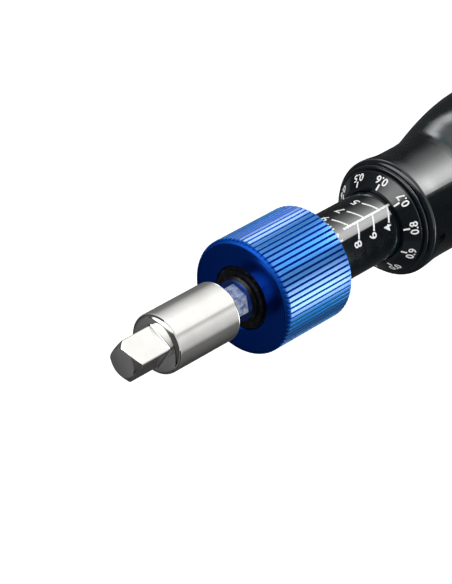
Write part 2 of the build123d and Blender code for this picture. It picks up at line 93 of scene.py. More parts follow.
def add(tree, kind, links=None, stops=None, **settings):
    """Adds a node: settings are its properties, links fill its sockets, stops fill its colour ramp."""
    node = tree.nodes.new(kind)
    for name, value in settings.items():
        setattr(node, name, value)
    for socket, value in (links or {}).items():
        if isinstance(value, bpy.types.NodeSocket):
            tree.links.new(value, node.inputs[socket])
        else:
            node.inputs[socket].default_value = value
    for k, (place, value) in enumerate(stops or ()):
        while len(node.color_ramp.elements) <= k:
            node.color_ramp.elements.new(1.0)
        node.color_ramp.elements[k].position = place
        node.color_ramp.elements[k].color = value if isinstance(value, list) else (value, value, value, 1)
    return node


def new_material(name):
    """An empty material, its node tree and its Object coordinates."""
    material = bpy.data.materials.new(name)
    material.use_nodes = True
    material.node_tree.nodes.clear()
    return material, material.node_tree, add(material.node_tree, "ShaderNodeTexCoord").outputs["Object"]


def paint(piece, material):
    piece.data.materials.clear()
    piece.data.materials.append(material)


def deselect():
    for item in bpy.context.selected_objects:
        item.select_set(False)


def choose(*pieces):
    """Selects these pieces alone, and makes the first one active."""
    deselect()
    for piece in pieces:
        piece.select_set(True)
    bpy.context.view_layer.objects.active = pieces[0]


def edit():
    bpy.ops.object.mode_set(mode="EDIT")


def done():
    bpy.ops.object.mode_set(mode="OBJECT")


def pick(piece, mode, wanted):
    """Selects only the vertices, edges or faces whose corners all satisfy wanted(x, y, z)."""
    done()
    mesh = piece.data
    good = [bool(wanted(*corner.co)) for corner in mesh.vertices]
    edit()
    bpy.ops.mesh.select_all(action="DESELECT")
    bpy.ops.mesh.select_mode(type=mode)
    done()
    if mode == "VERT":
        for corner, chosen in zip(mesh.vertices, good):
            corner.select = chosen
    if mode == "EDGE":
        for edge in mesh.edges:
            edge.select = all(good[k] for k in edge.vertices)
    if mode == "FACE":
        for face in mesh.polygons:
            face.select = all(good[k] for k in face.vertices)
    edit()


def drawn(stations, segments, hollow=False):
    """A turned piece, drawn up from a disc or a ring through stations of radius and height.

    A hollow one goes round its whole section and closes on its first station.
    """
    r, z = stations[0]
    deselect()
    bpy.ops.mesh.primitive_circle_add(
        vertices=segments, radius=r, location=(0, 0, z), fill_type="NOTHING" if hollow else "NGON")
    bpy.ops.object.transform_apply()
    piece = bpy.context.object
    edit()
    bpy.ops.mesh.select_all(action="SELECT")
    for (r0, z0), (r1, z1) in zip(stations, stations[1:]):
        bpy.ops.mesh.extrude_region_move(TRANSFORM_OT_translate={"value": (0, 0, z1 - z0)})
        bpy.ops.transform.resize(value=(r1 / r0, r1 / r0, 1), center_override=(0, 0, z1))
    bpy.ops.mesh.select_all(action="SELECT")
    bpy.ops.mesh.remove_doubles(threshold=0.001)
    bpy.ops.mesh.normals_make_consistent(inside=False)
    done()
    return piece


def changed(piece, kind, **settings):
    """Gives a piece a modifier with these settings, and applies it."""
    change = piece.modifiers.new(kind, kind)
    for name, value in settings.items():
        setattr(change, name, value)
    choose(piece)
    bpy.ops.object.modifier_apply(modifier=change.name)


def carve(piece, tool, operation):
    """Cuts, joins or trims a piece with another, which is used up."""
    changed(piece, "BOOLEAN", operation=operation, solver="EXACT", object=tool)
    bpy.data.objects.remove(tool)


def round_corners(bar, width, segments):
    """Rounds the edges that run along a bar."""
    pick(bar, "FACE", lambda x, y, z: False)
    done()
    for line in bar.data.edges:
        ends = [bar.data.vertices[k].co for k in line.vertices]
        line.select = abs(ends[0].z - ends[1].z) > 1
    edit()
    bpy.ops.mesh.select_mode(type="EDGE")
    bpy.ops.mesh.bevel(offset=width, segments=segments)
    done()


def finished(piece, name, material, body, slot_name, *stands_for, crease=35):
    """Scales a modelled piece to metres, smooths it, and puts it on its body in place of CAD nodes."""
    choose(piece)
    piece.scale = (MM, MM, MM)
    bpy.ops.object.transform_apply()
    bpy.ops.object.shade_smooth_by_angle(angle=math.radians(crease))
    piece.name = name
    piece.data.name = name
    paint(piece, material)
    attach(piece, body)
    if stands_for:
        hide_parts(*stands_for)
    return piece


def turning_marks(tree, coords, pitch, depth, grain_size):
    """The surface that a lathe tool leaves: rings a pitch apart with a grain on them, depth high together.

    A real feed is often under 0.1 mm. Where that is too fine to show, the pitch given is coarser.
    """
    rings = add(tree, "ShaderNodeTexWave", {
        "Vector": coords, "Scale": 0.05 / (pitch * MM), "Distortion": 0.6, "Detail": 2.0,
        "Detail Scale": 1.5}, wave_type="BANDS", bands_direction="Z")
    grain = add(tree, "ShaderNodeTexNoise", {"Vector": coords, "Scale": 1 / (grain_size * MM), "Detail": 4.0})
    both = add(tree, "ShaderNodeMath", {0: rings.outputs["Fac"], 1: grain.outputs["Fac"]}, operation="ADD")
    return add(tree, "ShaderNodeBump", {
        "Height": both.outputs[0], "Strength": 0.25, "Distance": depth * MM}).outputs["Normal"]


def cloudy(tree, coords, size, low, high):
    """A value that drifts between low and high in soft patches of a given size."""
    cloud = add(tree, "ShaderNodeTexNoise", {"Vector": coords, "Scale": 1 / (size * MM), "Detail": 5.0})
    return add(tree, "ShaderNodeMapRange", {
        "Value": cloud.outputs["Fac"], "From Min": 0.3, "From Max": 0.7,
        "To Min": low, "To Max": high}).outputs[0]


def chrome_plate():
    """Nickel-chrome on steel, polished round its axis: near-white mirrors with hairlines.

    The square was ground before plating, and is a little duller. The shank behind the body is only drawn and
    plated: lengthwise streaks dull it, and blue patches on it are a painted reflection of the blue collar.
    The streaks are drawn coarser than the real ones, so that they show.
    """
    material, tree, coords = new_material("bright_chrome_plate")
    height = add(tree, "ShaderNodeSeparateXYZ", {"Vector": coords}).outputs["Z"]
    on_shank = add(tree, "ShaderNodeMath", {
        0: height, 1: adapter_back_z * MM}, operation="LESS_THAN").outputs[0]
    on_square = add(tree, "ShaderNodeMath", {
        0: height, 1: (adapter_front_z + 0.3) * MM}, operation="GREATER_THAN").outputs[0]
    polished = add(tree, "ShaderNodeValToRGB", {"Fac": cloudy(tree, coords, 6.0, 0.0, 1.0)}, stops=(
        (0.0, linear("cbcac6")), (1.0, linear("d6d5d2"))))
    # The blue stop is a painted reflection of the blue collar in the shank; the pale stops are its plated
    # tone
    shank_tone_and_blue_reflection = add(tree, "ShaderNodeValToRGB", {"Fac": cloudy(tree, coords, 1.1, 0.0, 1.0)}, stops=(
        (0.1, linear("6f95d6")), (0.6, linear("dfe6f2")), (1.0, linear("f1f1ee"))))
    tone = add(tree, "ShaderNodeMix", {
        0: on_shank, 6: polished.outputs["Color"], 7: shank_tone_and_blue_reflection.outputs["Color"]}, data_type="RGBA")
    stretched = add(tree, "ShaderNodeMapping", {"Vector": coords, "Scale": (1, 1, 0.06)})
    streaks = add(tree, "ShaderNodeTexNoise", {
        "Vector": stretched.outputs[0], "Scale": 1 / (0.5 * MM), "Detail": 5.0}).outputs["Fac"]
    drawn_rough = add(tree, "ShaderNodeMapRange", {
        "Value": streaks, "From Min": 0.35, "From Max": 0.65, "To Min": 0.25, "To Max": 0.42})
    bright_rough = add(tree, "ShaderNodeMix", {
        0: on_square, 2: cloudy(tree, coords, 5.0, 0.03, 0.055), 3: cloudy(tree, coords, 0.7, 0.10, 0.20)})
    rough = add(tree, "ShaderNodeMix", {0: on_shank, 2: bright_rough.outputs[0], 3: drawn_rough.outputs[0]})
    furrows = add(tree, "ShaderNodeMath", {0: streaks, 1: on_shank}, operation="MULTIPLY")
    relief = add(tree, "ShaderNodeBump", {
        "Height": furrows.outputs[0], "Strength": 0.3, "Distance": 0.008 * MM,
        "Normal": turning_marks(tree, coords, 0.15, 0.0006, 0.4)})
    plated = add(tree, "ShaderNodeMapRange", {"Value": on_shank, "To Min": 1.0, "To Max": 0.4})
    shader = add(tree, "ShaderNodeBsdfPrincipled", {
        "Base Color": tone.outputs[2], "Metallic": plated.outputs[0], "Roughness": rough.outputs[0],
        "Normal": relief.outputs["Normal"]})
    add(tree, "ShaderNodeOutputMaterial", {"Surface": shader.outputs[0]})
    return material


def blue_anodised_aluminium():
    """Blue dyed anodising on machined aluminium: satin metal under a clear hard skin with its own highlight.

    The fluting cutter runs along the axis, so the grain is stretched that way. It leaves the flutes dull, and
    their darker blue is painted shade for the grooves. The turned front is smoother, and only the lands
    between the flutes are glossy. Seen at a slant the dyed skin stays blue, where bare metal would go white.
    The real grain is too fine to show, so this one is coarser.
    """
    material, tree, coords = new_material("blue_anodised_aluminium")
    stretched = add(tree, "ShaderNodeMapping", {"Vector": coords, "Scale": (1, 1, 0.08)})
    grain = add(tree, "ShaderNodeTexNoise", {
        "Vector": stretched.outputs[0], "Scale": 1 / (0.35 * MM), "Detail": 6.0}).outputs["Fac"]
    flat = add(tree, "ShaderNodeVectorMath", {0: coords, 1: (1, 1, 0)}, operation="MULTIPLY").outputs[0]
    radius = add(tree, "ShaderNodeVectorMath", {0: flat}, operation="LENGTH").outputs["Value"]
    height = add(tree, "ShaderNodeSeparateXYZ", {"Vector": coords}).outputs["Z"]
    on_face = add(tree, "ShaderNodeMath", {
        0: height, 1: (collar_face_z - 0.05) * MM}, operation="GREATER_THAN").outputs[0]
    on_land = add(tree, "ShaderNodeMapRange", {
        "Value": radius, "From Min": (collar_r - 0.06) * MM, "From Max": (collar_r - 0.02) * MM}).outputs[0]
    land = add(tree, "ShaderNodeValToRGB", {"Fac": grain}, stops=(
        (0.3, linear("135f9e")), (0.7, linear("1769ab"))))
    # The flutes' darker blue than the lands' is painted shade for the grooves
    side = add(tree, "ShaderNodeMix", {
        0: on_land, 6: linear("1149a6"), 7: land.outputs["Color"]}, data_type="RGBA")
    tone = add(tree, "ShaderNodeMix", {0: on_face, 6: side.outputs[2], 7: linear("1440a0")}, data_type="RGBA")
    satin = add(tree, "ShaderNodeMapRange", {
        "Value": grain, "From Min": 0.3, "From Max": 0.7, "To Min": 0.2, "To Max": 0.27}).outputs[0]
    smooth = add(tree, "ShaderNodeMath", {0: on_land, 1: on_face}, operation="MAXIMUM").outputs[0]
    rough = add(tree, "ShaderNodeMix", {0: smooth, 2: 0.5, 3: satin})
    relief = add(tree, "ShaderNodeBump", {"Height": grain, "Strength": 0.3, "Distance": 0.003 * MM})
    shader = add(tree, "ShaderNodeBsdfPrincipled", {
        "Base Color": tone.outputs[2], "Metallic": 1.0, "Roughness": rough.outputs[0],
        "Specular Tint": linear("5f95e8"), "Normal": relief.outputs["Normal"],
        "Coat Weight": on_land, "Coat Roughness": 0.09, "Coat IOR": 1.6})
    add(tree, "ShaderNodeOutputMaterial", {"Surface": shader.outputs[0]})
    return material


def black_skin(name, low, high, roughness, marks):
    """Deep black that mirrors only a twentieth of the light, so bright cards show as soft grey bands.

    Anodising is dyed and sealed smooth. Lacquer is sprayed on, and its bands are a little softer.
    """
    material, tree, coords = new_material(name)
    tone = add(tree, "ShaderNodeValToRGB", {"Fac": cloudy(tree, coords, 4.0, 0.0, 1.0)}, stops=(
        (0.0, linear(low)), (1.0, linear(high))))
    shader = add(tree, "ShaderNodeBsdfPrincipled", {
        "Base Color": tone.outputs["Color"], "IOR": 1.55,
        "Roughness": cloudy(tree, coords, 2.0, roughness - 0.025, roughness + 0.025),
        "Normal": turning_marks(tree, coords, marks, 0.0008, 0.6)})
    add(tree, "ShaderNodeOutputMaterial", {"Surface": shader.outputs[0]})
    return material


def blackened_steel():
    """Steel blackened in hot salts: dull and nearly black, worn a little lighter where it is rubbed.

    The blue face of the spindle's nose round the hexagon hole is a painted reflection of the blue collar.
    """
    material, tree, coords = new_material("blackened_steel")
    height = add(tree, "ShaderNodeSeparateXYZ", {"Vector": coords}).outputs["Z"]
    # Painted reflection: the nose face above this height is coloured blue for the collar that it mirrors
    nose_blue_reflection = add(tree, "ShaderNodeMath", {
        0: height, 1: (nose_z - 0.1) * MM}, operation="GREATER_THAN").outputs[0]
    black = add(tree, "ShaderNodeValToRGB", {"Fac": cloudy(tree, coords, 0.8, 0.0, 1.0)}, stops=(
        (0.0, linear("131417")), (0.75, linear("1f2023")), (1.0, linear("3a3a3c"))))
    tone = add(tree, "ShaderNodeMix", {
        0: nose_blue_reflection, 6: black.outputs["Color"], 7: linear("17397a")}, data_type="RGBA")
    shader = add(tree, "ShaderNodeBsdfPrincipled", {
        "Base Color": tone.outputs[2], "Metallic": 0.8, "Roughness": cloudy(tree, coords, 1.2, 0.26, 0.4),
        "Normal": turning_marks(tree, coords, 0.2, 0.003, 0.15)})
    add(tree, "ShaderNodeOutputMaterial", {"Surface": shader.outputs[0]})
    return material


def bare_metal(name, dark, light, roughness, spread, marks, depth):
    """A bare machined metal: its own tint, lighter and darker in patches, with the tool's rings.

    Ground steel is a bright grey and drawn wire a duller one. Sintered bronze is brown and nearly matt, and
    turned brass a clear yellow.
    """
    material, tree, coords = new_material(name)
    tone = add(tree, "ShaderNodeValToRGB", {"Fac": cloudy(tree, coords, 3.0, 0.0, 1.0)}, stops=(
        (0.0, linear(dark)), (1.0, linear(light))))
    shader = add(tree, "ShaderNodeBsdfPrincipled", {
        "Base Color": tone.outputs["Color"], "Metallic": 1.0,
        "Roughness": cloudy(tree, coords, 1.5, roughness - spread, roughness + spread),
        "Normal": turning_marks(tree, coords, marks, depth, 0.4)})
    add(tree, "ShaderNodeOutputMaterial", {"Surface": shader.outputs[0]})
    return material


def nitrile_rubber():
    """Moulded black rubber: matt, with a fine bloom that greys it in patches."""
    material, tree, coords = new_material("moulded_nitrile_rubber")
    tone = add(tree, "ShaderNodeValToRGB", {"Fac": cloudy(tree, coords, 2.0, 0.0, 1.0)}, stops=(
        (0.0, linear("131417")), (1.0, linear("1d1e21"))))
    grain = add(tree, "ShaderNodeTexNoise", {"Vector": coords, "Scale": 1 / (0.12 * MM), "Detail": 3.0})
    relief = add(tree, "ShaderNodeBump", {
        "Height": grain.outputs["Fac"], "Strength": 0.4, "Distance": 0.01 * MM})
    shader = add(tree, "ShaderNodeBsdfPrincipled", {
        "Base Color": tone.outputs["Color"], "Roughness": cloudy(tree, coords, 1.0, 0.55, 0.7),
        "Normal": relief.outputs["Normal"]})
    add(tree, "ShaderNodeOutputMaterial", {"Surface": shader.outputs[0]})
    return material


def screen_ink():
    """White two-part ink, screen printed: flat white with a slight orange peel and a satin gloss."""
    material, tree, coords = new_material("white_screen_ink")
    grain = add(tree, "ShaderNodeTexNoise", {"Vector": coords, "Scale": 1 / (0.4 * MM), "Detail": 3.0})
    tone = add(tree, "ShaderNodeValToRGB", {"Fac": grain.outputs["Fac"]}, stops=(
        (0.35, linear("dcdedd")), (0.6, linear("f4f5f3"))))
    relief = add(tree, "ShaderNodeBump", {
        "Height": grain.outputs["Fac"], "Strength": 0.2, "Distance": 0.01 * MM})
    shader = add(tree, "ShaderNodeBsdfPrincipled", {
        "Base Color": tone.outputs["Color"], "Roughness": 0.45, "Normal": relief.outputs["Normal"]})
    add(tree, "ShaderNodeOutputMaterial", {"Surface": shader.outputs[0]})
    return material


finishes = {
    "chrome": chrome_plate(),
    "blue_anodised": blue_anodised_aluminium(),
    "black_anodised": black_skin("gloss_black_anodised_aluminium", "070d10", "0c1317", 0.10, 0.12),
    "grip_black": black_skin("gloss_black_lacquered_aluminium", "090f12", "0d1317", 0.13, 0.30),
    "black_steel": blackened_steel(),
    "ground_steel": bare_metal("ground_tool_steel", "9d9d9a", "b3b3b0", 0.22, 0.06, 0.10, 0.0015),
    "spring_steel": bare_metal("bright_spring_wire", "868685", "979796", 0.30, 0.06, 0.05, 0.001),
    "bronze": bare_metal("sintered_bronze", "8f6a40", "b98d5b", 0.42, 0.08, 0.12, 0.003),
    "brass": bare_metal("turned_brass", "bd9744", "d2ac56", 0.28, 0.06, 0.12, 0.002),
    "rubber": nitrile_rubber(),
}
ink = screen_ink()
for row in frame["record"]["subparts"]:
    paint(nodes[row["node"]], finishes[row["material_slot"]])


def release_collar():
    """The fluted collar. Its wall is drawn round its section, then each flute's columns are drawn in."""
    flutes = 68
    columns = 10
    flute_depth = 0.33
    pitch = 360 / flutes
    first_flute = 9 * pitch / columns
    back_chamfer = 0.5
    front_round = 1.1
    mouth_r = 6.72
    mouth_chamfer = 0.18
    spring_seat_z = 129.6
    guide_r = 5.05
    guide_back_z = 126.7
    ramp_back_r = 6.3
    ramp_back_z = 122.1
    skirt_r = 8.1
    skirt_front_z = 121.7
    wall_middle_r = 11.0

    side_z = collar_back_z + back_chamfer
    arc_r = collar_r - front_round
    arc_z = collar_face_z - front_round
    # The fifth station of the arc is where the flutes run out of it
    arc = [math.radians(a) for a in (0, 11, 23, 34, 45.6, 60, 75, 90)]
    outside = [(collar_r - back_chamfer, collar_back_z),
               (collar_r - flute_depth, side_z - flute_depth),
               (collar_r, side_z), (collar_r, side_z + 0.1), (collar_r, arc_z - 0.1)]
    outside += [(arc_r + front_round * math.cos(a), arc_z + front_round * math.sin(a)) for a in arc]
    inside = [(mouth_r + mouth_chamfer, collar_face_z), (mouth_r, collar_face_z - mouth_chamfer),
              (mouth_r, spring_seat_z), (guide_r, spring_seat_z), (guide_r, guide_back_z),
              (ramp_back_r, ramp_back_z), (ramp_back_r, skirt_front_z), (skirt_r, skirt_front_z),
              (skirt_r, collar_back_z), outside[0]]
    collar = drawn(outside + inside, flutes * columns, hollow=True)

    def column(share, z):
        """Finds the outer vertices of one height, at a share of the pitch from a flute's middle."""
        def wanted(x, y, height):
            turn = (math.degrees(math.atan2(y, x)) - first_flute) / pitch
            away = abs(turn - round(turn))
            return abs(away - share) < 0.03 and abs(height - z) < 0.005 and math.hypot(x, y) > wall_middle_r
        return wanted

    # A flute's middle column goes to its floor, and the columns beside it most of the way
    for share, sink in ((0.0, 1.0), (0.1, 0.62)):
        floor_r = collar_r - flute_depth * sink
        for r, z in outside:
            if r > floor_r:
                pick(collar, "VERT", column(share, z))
                bpy.ops.transform.resize(value=(floor_r / r, floor_r / r, 1), center_override=(0, 0, z))
    done()
    return finished(collar, "fluted_release_collar", finishes["blue_anodised"], "collar", "blue_anodised",
                    "release_collar", crease=40)


def adapter_body():
    """The adapter's round body, with a rounded front edge and a smaller one behind."""
    body_r = 6.36
    front_round = 1.1
    arc = [math.radians(a) for a in range(0, 91, 15)]
    arc_r = body_r - front_round
    arc_z = adapter_front_z - front_round
    back = [(body_r - 0.3, 0), (body_r - 0.14, 0.05), (body_r - 0.03, 0.16), (body_r, 0.3), (body_r, 0.4)]
    stations = [(r, adapter_back_z + z) for r, z in back] + [(body_r, arc_z - 0.1)]
    stations += [(arc_r + front_round * math.cos(a), arc_z + front_round * math.sin(a)) for a in arc]
    return drawn(stations, 128)


def drive_square():
    """The milled square with rounded corners. A lathe cut its end to a cone first."""
    root = 1
    corner_round = 0.3
    end_r = 3.0
    cone_r = 6
    cone_length = 2.215
    deselect()
    bpy.ops.mesh.primitive_cube_add(size=1, rotation=(0, 0, math.radians(square_angle)))
    square = bpy.context.object
    square.location = (0, 0, (adapter_front_z - root + tip_z) / 2)
    square.scale = (drive_size, drive_size, tip_z - adapter_front_z + root)
    bpy.ops.object.transform_apply()
    round_corners(square, corner_round, 4)
    cone = drawn([(cone_r, adapter_front_z - 2 * root), (cone_r, tip_z - cone_length), (end_r, tip_z)], 128)
    carve(square, cone, "INTERSECT")
    return square


def hexagon_shank():
    """The shank that the collar's balls hold: a hexagon with a chamfered end and a ball groove round it."""
    front_z = 145.06
    corner_round = 0.15
    blank_r = 3.67
    blank_over = 0.06
    blank_front_z = 146
    end_r = 3.07
    end_chamfer = 0.6
    groove_z = 126.6
    groove_middle_r = 3.7
    groove_round = 1.4
    deselect()
    bpy.ops.mesh.primitive_cylinder_add(
        vertices=6, radius=drive_size / math.sqrt(3), depth=front_z - shank_back_z,
        location=(0, 0, (front_z + shank_back_z) / 2), rotation=(0, 0, math.radians(30)))
    shank = bpy.context.object
    bpy.ops.object.transform_apply()
    round_corners(shank, corner_round, 3)
    blank = [
        (end_r, shank_back_z - blank_over), (blank_r, shank_back_z + end_chamfer), (blank_r, blank_front_z)]
    carve(shank, drawn(blank, 96), "INTERSECT")
    deselect()
    bpy.ops.mesh.primitive_torus_add(
        location=(0, 0, groove_z), major_radius=groove_middle_r, minor_radius=groove_round,
        major_segments=96, minor_segments=32)
    carve(shank, bpy.context.object, "DIFFERENCE")
    return shank


def drive_adapter():
    """The adapter: body, square and shank in one, with the hole for the ball that holds a socket."""
    square_root_round = 0.35
    square_reach = 5.0
    hole_r = 1.3
    hole_length = 6
    hole_middle = 1.875
    hole_z = 166.8
    edge_round = 0.07

    adapter = adapter_body()
    carve(adapter, drive_square(), "UNION")
    pick(adapter, "EDGE", lambda x, y, z: abs(z - adapter_front_z) < 0.01 and math.hypot(x, y) < square_reach)
    bpy.ops.mesh.bevel(offset=square_root_round, segments=4)
    done()
    carve(adapter, hexagon_shank(), "UNION")
    angle = math.radians(square_angle + 180)
    deselect()
    bpy.ops.mesh.primitive_cylinder_add(
        vertices=48, radius=hole_r, depth=hole_length, rotation=(0, math.radians(90), angle),
        location=(hole_middle * math.cos(angle), hole_middle * math.sin(angle), hole_z))
    carve(adapter, bpy.context.object, "DIFFERENCE")
    changed(adapter, "BEVEL", width=edge_round, segments=2, limit_method="ANGLE",
            angle_limit=math.radians(32))
    return finished(adapter, "plated_drive_adapter", finishes["chrome"], "spindle", "chrome",
                    "drive_adapter", crease=30)


def stroke(x0, y0, x1, y1, width):
    """A straight printed line on the flat artwork."""
    deselect()
    bpy.ops.mesh.primitive_grid_add(
        x_subdivisions=16, y_subdivisions=2, size=1, location=((x0 + x1) / 2, (y0 + y1) / 2, 0),
        rotation=(0, 0, math.atan2(y1 - y0, x1 - x0)))
    line = bpy.context.object
    line.scale = (math.hypot(x1 - x0, y1 - y0), width, 1)
    bpy.ops.object.transform_apply()
    return line


def lettering(text, x, y, height):
    """Printed characters, centred on a place of the flat artwork and sliced, so that they follow a curve."""
    capital_share = 0.73
    thickening = 0.02
    widest_letter = 1.6
    slice_width = 0.3
    deselect()
    bpy.ops.object.text_add(location=(x, y, 0))
    words = bpy.context.object
    words.data.body = text
    words.data.size = height / capital_share
    words.data.align_x = "CENTER"
    words.data.align_y = "CENTER"
    words.data.offset = thickening * height
    words.data.resolution_u = 6
    bpy.ops.object.convert(target="MESH")
    bpy.ops.object.transform_apply()
    words = bpy.context.object
    edit()
    reach = widest_letter * height * len(text) / 2
    cuts = max(2, int(2 * reach / slice_width))
    for k in range(cuts + 1):
        bpy.ops.mesh.select_all(action="SELECT")
        bpy.ops.mesh.bisect(plane_co=(x - reach + k * 2 * reach / cuts, y, 0), plane_no=(1, 0, 0))
    done()
    return words


def printed(parts, name, body, wrap):
    """Joins flat artwork, lays it on its surface by wrap(x, y), and gives it the thickness of ink."""
    choose(*parts)
    bpy.ops.object.join()
    art = parts[0]
    for corner in art.data.vertices:
        corner.co = Vector(wrap(corner.co.x, corner.co.y))
    edit()
    bpy.ops.mesh.select_all(action="SELECT")
    bpy.ops.mesh.quads_convert_to_tris()
    done()
    changed(art, "SOLIDIFY", thickness=ink_height, offset=-1)
    return finished(art, name, ink, body, "black_anodised")


def barrel_scale():
    """The scale of 1 to 9, one lead apart, odd values to one side of its line and even ones to the other.

    The marks under the thimble are short and have no numbers. The first that is numbered lies just ahead of
    the dial's front. Reaches are degrees from the line.
    """
    line_angle = 15.8
    line_end_z = 110.9
    line_width = 0.5
    mark_width = 0.42
    mark_start = 0.15
    mark_reach = 25.0
    mark_rise = 1.9
    short_reach = 12.0
    short_rise = 0.9
    odd_reach = 33.9
    even_reach = 31.2
    number_rise = 2.5
    number_height = 2.15
    unit_reach = 3.0
    unit_z = 113.6
    unit_height = 2.1
    first_numbered = 4
    ahead_of_dial = 0.71
    first_z = dial_front_z + ahead_of_dial - (first_numbered - 1) * lead
    degree = math.radians(1) * barrel_r
    parts = [stroke(0, first_z, 0, line_end_z, line_width)]
    for value in range(1, 10):
        z = first_z + (value - 1) * lead
        side = 1 if value % 2 else -1
        start = side * mark_start
        if value < first_numbered:
            parts.append(stroke(start, z, side * short_reach * degree, z + short_rise, mark_width))
            continue
        reach = odd_reach if side > 0 else even_reach
        parts.append(stroke(start, z, side * mark_reach * degree, z + mark_rise, mark_width))
        parts.append(lettering(str(value), side * reach * degree, z + number_rise, number_height))
    parts.append(lettering("N·m", unit_reach * degree, unit_z, unit_height))

    def wrap(x, y):
        angle = math.radians(line_angle) + x / barrel_r
        r = barrel_r + ink_height
        return r * math.cos(angle), r * math.sin(angle), y
    return printed(parts, "barrel_scale", "barrel", wrap)


def dial_numbers():
    """Ten numbers round the thimble's bevel, a tenth of the lead apart, each beyond its own tick."""
    bevel_inner_r = 8.47
    bevel_middle_r = 10.2
    slope = math.sqrt(0.5)
    tenths = 10
    shown_tenth = 7
    shown_angle = 8.2
    tick_start = -0.03
    tick_end = -1.43
    tick_width = 0.42
    number_place = -2.43
    number_height = 1.75
    for tenth in range(tenths):
        middle = math.radians(shown_angle - (tenth - shown_tenth) * 360 / tenths)

        def wrap(x, y):
            r = bevel_inner_r + (ink_height - y) * slope
            z = dial_front_z + (ink_height + y) * slope
            angle = middle + x / bevel_middle_r
            return r * math.cos(angle), r * math.sin(angle), z
        tick = stroke(0, tick_start, 0, tick_end, tick_width)
        number = lettering("0." + str(tenth), 0, number_place, number_height)
        printed([tick, number], "dial_number_" + str(tenth), "handle", wrap)


release_collar()
drive_adapter()
barrel_scale()
dial_numbers()


# The studio, in metres
floor_card_z = 0.0015
ceiling_z = 0.62
ceiling_half = 1.3


def glowing(piece, name, glow):
    """Makes a piece a card of the brightness glow(tree, coords), which only the shiny pieces mirror."""
    piece.name = name
    material, tree, coords = new_material(name)
    add(tree, "ShaderNodeOutputMaterial", {"Surface": glow(tree, coords)})
    paint(piece, material)
    piece.visible_camera = False
    piece.visible_diffuse = False
    piece.visible_transmission = False
    piece.visible_shadow = False


def card(name, glow, size, place, turn=(0, 0, 0)):
    """A flat studio card."""
    deselect()
    bpy.ops.mesh.primitive_plane_add(size=1, location=place, rotation=turn)
    piece = bpy.context.object
    piece.scale = (size[0], size[1], 1)
    bpy.ops.object.transform_apply()
    glowing(piece, name, glow)


def ring_glow(tree, coords):
    """Strip lights and dark cards that lie round the tool, as its upright sides mirror them.

    The handle and barrel mirror the floor nearest to the tool, the collar a ring beyond, and the adapter the
    rest. A stop is an azimuth and its brightness. The collar's cards are dark blue paper with white strips,
    so its stops have a lower brightness for red, and its darker sides stay a clear blue.
    """
    near = ((-180, .08), (-100, .04), (-40, .04), (-6, .08), (-1, 1.6), (4, 5.5), (9, 9), (20, 9.5),
            (30, 7.6), (38, 5.4), (48, 3.4), (60, 1.8), (72, 1.0), (86, .3), (98, .08), (180, .05))
    blue = ((-180, .03, .08), (-122, .07, .2), (-90, .2, 1.1), (-79, 3.5, 3.8), (-64, 8, 8), (-48, 6, 6),
            (-30, 3.2, 3.4), (-20, 1.0, 1.5), (4, .9, 1.1), (30, 1.3, 1.5), (46, 1.2, 1.4), (62, .6, 1.0),
            (76, .7, 1.1), (88, 4.8, 5), (97, 4.4, 4.5), (112, .85, 1.0), (140, .15, .3), (180, .03, .08))
    far = ((-180, .08), (-138, .06), (-76, .22), (-62, .7), (-42, .92), (-22, 1.2), (-8, .78), (-4, 1.1),
           (1, 1.5), (20, 1.62), (52, 1.58), (86, 1.0), (118, .28), (180, .08))
    peak = 9.5
    ahead_of_axis = 0.003
    blue_starts = (0.1335, 0.135)
    far_starts = (0.168, 0.171)
    turn = add(tree, "ShaderNodeTexGradient", {"Vector": coords}, gradient_type="RADIAL").outputs["Fac"]
    zones = []
    for cards in (near, blue, far):
        stops = []
        for azimuth, red, *others in cards:
            cool = others[0] if others else red
            stops.append(((azimuth + 180) / 360, [red / peak, cool / peak, cool / peak, 1]))
        zones.append(add(tree, "ShaderNodeValToRGB", {"Fac": turn}, stops=stops).outputs["Color"])

    # The zones' edges are circles a little ahead of the axis, because the camera looks from that side
    ahead = add(tree, "ShaderNodeVectorMath", {
        0: coords, 1: (ahead_of_axis, 0, 0)}, operation="SUBTRACT").outputs[0]
    reach = add(tree, "ShaderNodeVectorMath", {0: ahead}, operation="LENGTH").outputs["Value"]
    to_blue = add(tree, "ShaderNodeMapRange", {
        "Value": reach, "From Min": blue_starts[0], "From Max": blue_starts[1]}).outputs[0]
    to_far = add(tree, "ShaderNodeMapRange", {
        "Value": reach, "From Min": far_starts[0], "From Max": far_starts[1]}).outputs[0]
    inner = add(tree, "ShaderNodeMix", {0: to_blue, 6: zones[0], 7: zones[1]}, data_type="RGBA").outputs[2]
    tone = add(tree, "ShaderNodeMix", {0: to_far, 6: inner, 7: zones[2]}, data_type="RGBA").outputs[2]
    return add(tree, "ShaderNodeEmission", {"Color": tone, "Strength": peak}).outputs[0]


